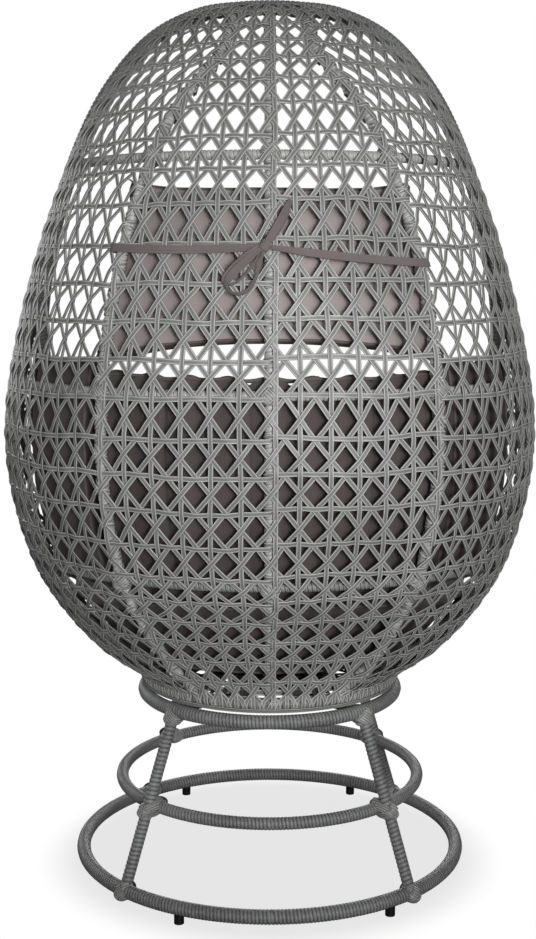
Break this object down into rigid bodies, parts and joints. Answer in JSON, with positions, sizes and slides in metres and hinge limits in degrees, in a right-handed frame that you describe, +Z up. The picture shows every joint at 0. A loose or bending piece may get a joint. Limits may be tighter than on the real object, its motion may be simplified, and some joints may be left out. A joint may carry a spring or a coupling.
{
  "type": "pod chair",
  "caption": "Egg-shaped open cane basket seat with loose cushions, turning on a wrapped three-ring base.",
  "frame": {"origin": "on the swivel axis, at floor level, under the middle of the chair", "axes": "+Z up, +Y the way the sitter faces, +X to the right of someone behind the chair looking at its back"},
  "size_m": [0.954, 0.8515, 1.5422],
  "materials": {
    "wrapped_tube": "steel tube wound with flat grey synthetic cane",
    "cane": "half-round grey synthetic cane, satin",
    "cushion_fabric": "matt taupe-grey outdoor cloth",
    "tie_tape": "flat cloth tape, lighter taupe-grey",
    "swivel_steel": "dark satin powder coat",
    "foot_plastic": "black, matt"
  },
  "bodies": {
    "base": {"floor_ring": "wrapped_tube", "mid_ring": "wrapped_tube", "top_ring": "wrapped_tube", "leg_back_right": "wrapped_tube", "leg_front_right": "wrapped_tube", "leg_front_left": "wrapped_tube", "leg_back_left": "wrapped_tube", "foot_1": "foot_plastic", "foot_2": "foot_plastic", "foot_3": "foot_plastic", "foot_4": "foot_plastic", "cross_bar_long": "wrapped_tube", "cross_bar_short_right": "wrapped_tube", "cross_bar_short_left": "wrapped_tube", "swivel_lower_plate": "swivel_steel", "swivel_race": "swivel_steel"},
    "basket": {"swivel_upper_plate": "swivel_steel", "swivel_spindle": "swivel_steel", "plate_bolt_1": "swivel_steel", "plate_bolt_2": "swivel_steel", "plate_bolt_3": "swivel_steel", "plate_bolt_4": "swivel_steel", "bottom_hoop": "wrapped_tube", "bottom_bar_long": "wrapped_tube", "bottom_bar_short_right": "wrapped_tube", "bottom_bar_short_left": "wrapped_tube", "front_rim_right": "wrapped_tube", "front_rim_left": "wrapped_tube", "centre_rib": "wrapped_tube", "back_rib_right": "wrapped_tube", "back_rib_left": "wrapped_tube", "side_rib_right": "wrapped_tube", "side_rib_left": "wrapped_tube", "front_rib": "wrapped_tube", "top_rail_inner_right": "wrapped_tube", "top_rail_inner_left": "wrapped_tube", "top_rail_outer_right": "wrapped_tube", "top_rail_outer_left": "wrapped_tube", "waist_rail_inner_right": "wrapped_tube", "waist_rail_inner_left": "wrapped_tube", "waist_rail_outer_right": "wrapped_tube", "waist_rail_outer_left": "wrapped_tube", "lower_rail_inner_right": "wrapped_tube", "lower_rail_inner_left": "wrapped_tube", "lower_rail_outer_right": "wrapped_tube", "lower_rail_outer_left": "wrapped_tube", "weave_back_right": "cane", "weave_back_left": "cane", "weave_side_right": "cane", "weave_side_left": "cane", "weave_front_right": "cane", "weave_front_left": "cane", "weave_bottom": "cane", "back_cushion": "cushion_fabric", "side_cushion_right": "cushion_fabric", "side_cushion_left": "cushion_fabric", "head_pillow": "cushion_fabric", "seat_cushion": "cushion_fabric", "pillow_tie": "tie_tape"}
  },
  "joints": [
    {"name": "seat_swivel", "type": "hinge", "parent": "base", "child": "basket", "pos_m": [0, 0, 0.341], "axis": [0, 0, 1], "continuous": true}
  ]
}
